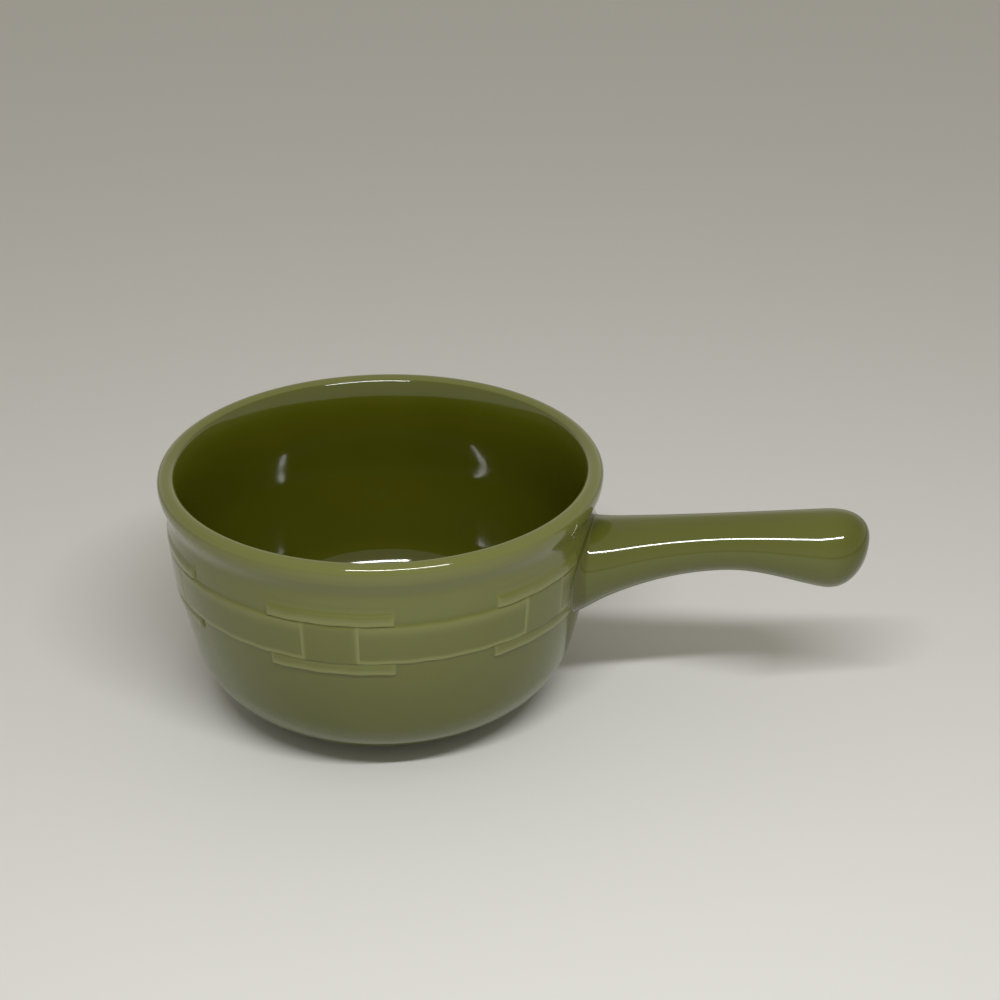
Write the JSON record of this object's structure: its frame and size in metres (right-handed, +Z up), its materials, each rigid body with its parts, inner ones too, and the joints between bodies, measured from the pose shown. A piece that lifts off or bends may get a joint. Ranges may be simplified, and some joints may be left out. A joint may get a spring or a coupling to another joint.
{
  "type": "handled soup bowl",
  "caption": "Round stoneware soup bowl with a rounded rim, a basket-weave relief band and one stick handle, glazed olive green on a bare clay foot ring.",
  "frame": {"origin": "on the bowl's axis, in the plane that the foot ring stands on", "axes": "+Z up along the bowl's axis, +X along the handle, +Y to the left of the handle seen from the bowl"},
  "size_m": [0.2225, 0.14, 0.0808],
  "materials": {
    "glaze": "glossy olive-green glaze, thinner and paler on raised edges",
    "bare_clay": "matt unglazed buff stoneware"
  },
  "bodies": {
    "root": {"bowl_body": "glaze", "foot_ring": "bare_clay", "handle": "glaze", "handle_slip": "glaze", "wide_weaver_1": "glaze", "wide_weaver_2": "glaze", "wide_weaver_3": "glaze", "wide_weaver_4": "glaze", "wide_weaver_5": "glaze", "wide_weaver_6": "glaze", "upright_splint_1": "glaze", "upright_splint_2": "glaze", "upright_splint_3": "glaze", "upright_splint_4": "glaze", "upright_splint_5": "glaze", "upright_splint_6": "glaze", "upper_strip_1": "glaze", "upper_strip_2": "glaze", "upper_strip_3": "glaze", "upper_strip_4": "glaze", "upper_strip_5": "glaze", "upper_strip_6": "glaze", "lower_strip_1": "glaze", "lower_strip_2": "glaze", "lower_strip_3": "glaze", "lower_strip_4": "glaze", "lower_strip_5": "glaze", "lower_strip_6": "glaze"}
  },
  "joints": []
}
